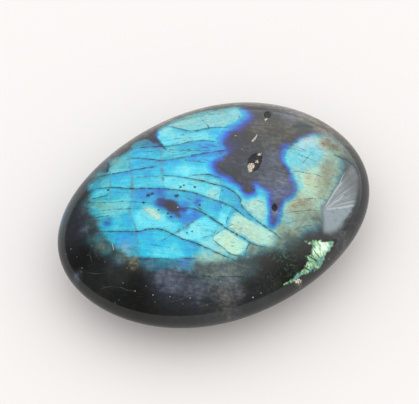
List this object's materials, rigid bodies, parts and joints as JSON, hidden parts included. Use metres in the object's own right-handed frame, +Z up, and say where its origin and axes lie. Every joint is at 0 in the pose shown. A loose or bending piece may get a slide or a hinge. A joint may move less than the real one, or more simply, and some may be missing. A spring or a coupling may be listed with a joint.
{
  "type": "polished labradorite palm stone",
  "caption": "Smooth egg-shaped palm stone of dark feldspar, domed above and below, with blue and green flash in its polished top and a small ground flat to rest on.",
  "frame": {"origin": "on the resting plane, under the middle of the stone's bounding box", "axes": "+X along the stone's length, towards the end with the grey feathered cleavage; +Y across its width; +Z up, out of the flashing top"},
  "size_m": [0.065, 0.0486, 0.0201],
  "materials": {
    "labradorite": "high polish, dark grey body with blue, cyan and green flash"
  },
  "bodies": {
    "root": {"palm_stone": "labradorite"}
  },
  "joints": []
}
